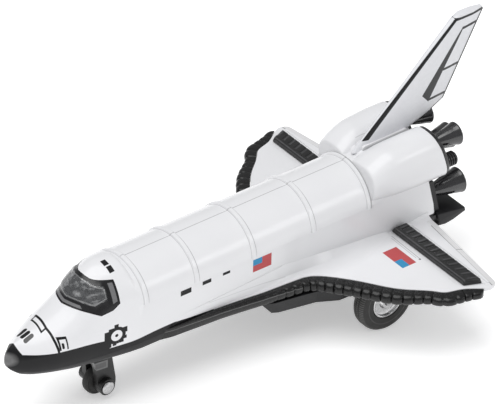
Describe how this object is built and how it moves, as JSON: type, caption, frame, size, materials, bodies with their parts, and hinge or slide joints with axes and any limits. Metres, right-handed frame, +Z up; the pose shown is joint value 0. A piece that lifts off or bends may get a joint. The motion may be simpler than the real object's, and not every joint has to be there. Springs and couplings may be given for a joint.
{
  "type": "toy space shuttle",
  "caption": "Die-cast toy space shuttle orbiter with white metal body, black plastic base and engines, smoked cockpit window and free-turning wheels.",
  "frame": {"origin": "on the floor under the middle of the model's length, on the centre plane", "axes": "+X towards the nose, +Y to port, +Z up"},
  "size_m": [0.2022, 0.1208, 0.0949],
  "materials": {
    "white_enamel": "glossy white enamel over die-cast metal, with printed black marks",
    "fin_white": "satin off-white plastic with printed black lines",
    "black_plastic": "glossy black moulded plastic",
    "smoked_window": "smoked clear plastic",
    "cockpit_interior": "matt dark grey",
    "chrome_hub": "vacuum-plated bright chrome",
    "steel_pin": "bright drawn steel",
    "tyre": "matt black soft plastic"
  },
  "bodies": {
    "airframe": {"body_casting": "white_enamel", "cockpit_glass": "smoked_window", "cockpit_tub": "cockpit_interior", "belly_base": "black_plastic", "motor_cover": "black_plastic", "pull_back_motor": "black_plastic", "leading_edge_port": "black_plastic", "leading_edge_starboard": "black_plastic", "wing_bar_port": "black_plastic", "wing_bar_starboard": "black_plastic", "tail_fin": "fin_white", "engine_bulkhead": "black_plastic", "pod_tail_port": "black_plastic", "pod_tail_starboard": "black_plastic", "main_engine_top": "black_plastic", "main_engine_port": "black_plastic", "main_engine_starboard": "black_plastic", "oms_nozzle_port": "black_plastic", "oms_nozzle_starboard": "black_plastic", "body_flap": "black_plastic", "nose_gear_fork": "black_plastic", "nose_axle_pin": "steel_pin"},
    "front_wheel": {"nose_wheel": "tyre"},
    "rear_wheels": {"main_axle": "steel_pin", "main_hub_port": "chrome_hub", "main_hub_starboard": "chrome_hub", "main_tyre_port": "tyre", "main_tyre_starboard": "tyre"}
  },
  "joints": [
    {"name": "front_wheel_spin", "type": "hinge", "parent": "airframe", "child": "front_wheel", "pos_m": [0.06285, 0, 0.0055], "axis": [0, 1, 0], "continuous": true},
    {"name": "rear_wheels_spin", "type": "hinge", "parent": "airframe", "child": "rear_wheels", "pos_m": [-0.0396, 0, 0.0116], "axis": [0, 1, 0], "continuous": true}
  ]
}
